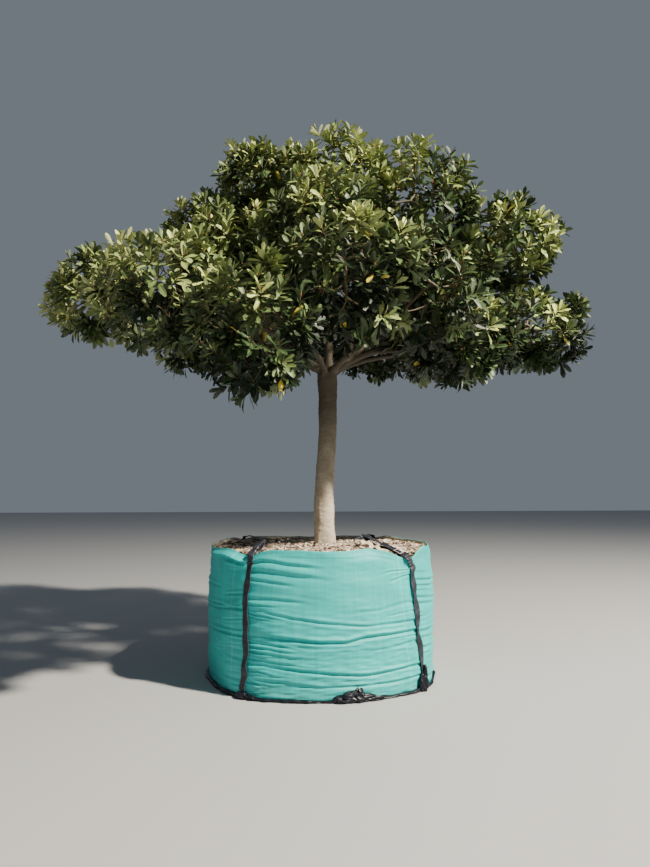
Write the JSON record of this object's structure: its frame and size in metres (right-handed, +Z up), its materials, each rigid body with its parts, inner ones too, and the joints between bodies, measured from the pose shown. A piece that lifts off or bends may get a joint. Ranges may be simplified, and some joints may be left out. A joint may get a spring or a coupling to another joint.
{
  "type": "broadleaf tree in a fabric planter bag",
  "caption": "Broad evergreen tree with leathery leaves on a pale trunk, growing in a filled round-sided planter bag of woven fabric with webbing straps.",
  "frame": {"origin": "middle of the bag's flat underside, on the ground", "axes": "+Z up; the bag's sides face along X and Y, and its front side, the one most seen in the picture, faces -Y"},
  "size_m": [4.7432, 3.9451, 4.831],
  "materials": {
    "bark": "smooth grey-tan bark",
    "foliage": "leathery green leaves",
    "bag": "woven polypropylene tape fabric",
    "webbing": "black woven webbing",
    "soil": "damp potting soil",
    "chips": "dry bark and wood chips"
  },
  "bodies": {
    "root": {"bag": "bag", "bough_back_left": "bark", "bough_back_right": "bark", "bough_front": "bark", "bough_left": "bark", "bough_low": "bark", "bough_right": "bark", "bough_rising": "bark", "foliage_back": "foliage", "foliage_back_left": "foliage", "foliage_back_right": "foliage", "foliage_front": "foliage", "foliage_front_left": "foliage", "foliage_front_mid": "foliage", "foliage_front_right": "foliage", "foliage_left_back": "foliage", "foliage_left_front": "foliage", "foliage_left_mid": "foliage", "foliage_left_tip": "foliage", "foliage_left_up": "foliage", "foliage_right_low": "foliage", "foliage_right_mid": "foliage", "foliage_right_tip": "foliage", "foliage_right_up": "foliage", "foliage_top_back": "foliage", "foliage_top_back_left": "foliage", "foliage_top_back_right": "foliage", "foliage_top_left": "foliage", "foliage_top_mid": "foliage", "foliage_top_right": "foliage", "foot_band": "webbing", "leader": "bark", "leader_back": "bark", "limb_back": "bark", "limb_back_left": "bark", "limb_front": "bark", "limb_front_mid": "bark", "limb_left_front": "bark", "limb_left_mid": "bark", "limb_left_up": "bark", "limb_right_low": "bark", "limb_right_mid": "bark", "limb_top_back_left": "bark", "limb_top_back_right": "bark", "limb_top_left": "bark", "limb_top_right": "bark", "root_ball": "soil", "strap_back_left": "webbing", "strap_back_right": "webbing", "strap_front_left": "webbing", "strap_front_right": "webbing", "trunk": "bark", "wood_chips": "chips"}
  },
  "joints": []
}
